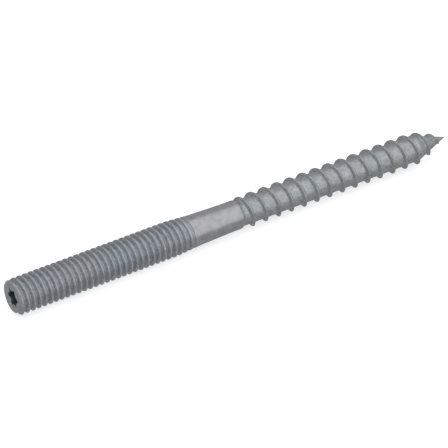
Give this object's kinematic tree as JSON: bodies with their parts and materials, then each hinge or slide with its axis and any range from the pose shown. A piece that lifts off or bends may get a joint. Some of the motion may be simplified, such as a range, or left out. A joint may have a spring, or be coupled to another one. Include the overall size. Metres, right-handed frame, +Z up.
{
  "type": "hanger bolt",
  "caption": "Headless steel rod that joins wood to metal: machine thread with a six-lobe recess in its end, short plain shank, coarse wood thread and gimlet point.",
  "frame": {"origin": "centre of the flat driven end face, on the bolt's axis", "axes": "+X along the bolt's axis from the driven end to the point, +Z up with the bolt lying on the ground"},
  "size_m": [0.08, 0.0058, 0.0058],
  "materials": {
    "zinc_coated_steel": "dull grey zinc coating, slightly mottled, satin rather than bright"
  },
  "bodies": {
    "root": {"hanger_bolt": "zinc_coated_steel"}
  },
  "joints": []
}
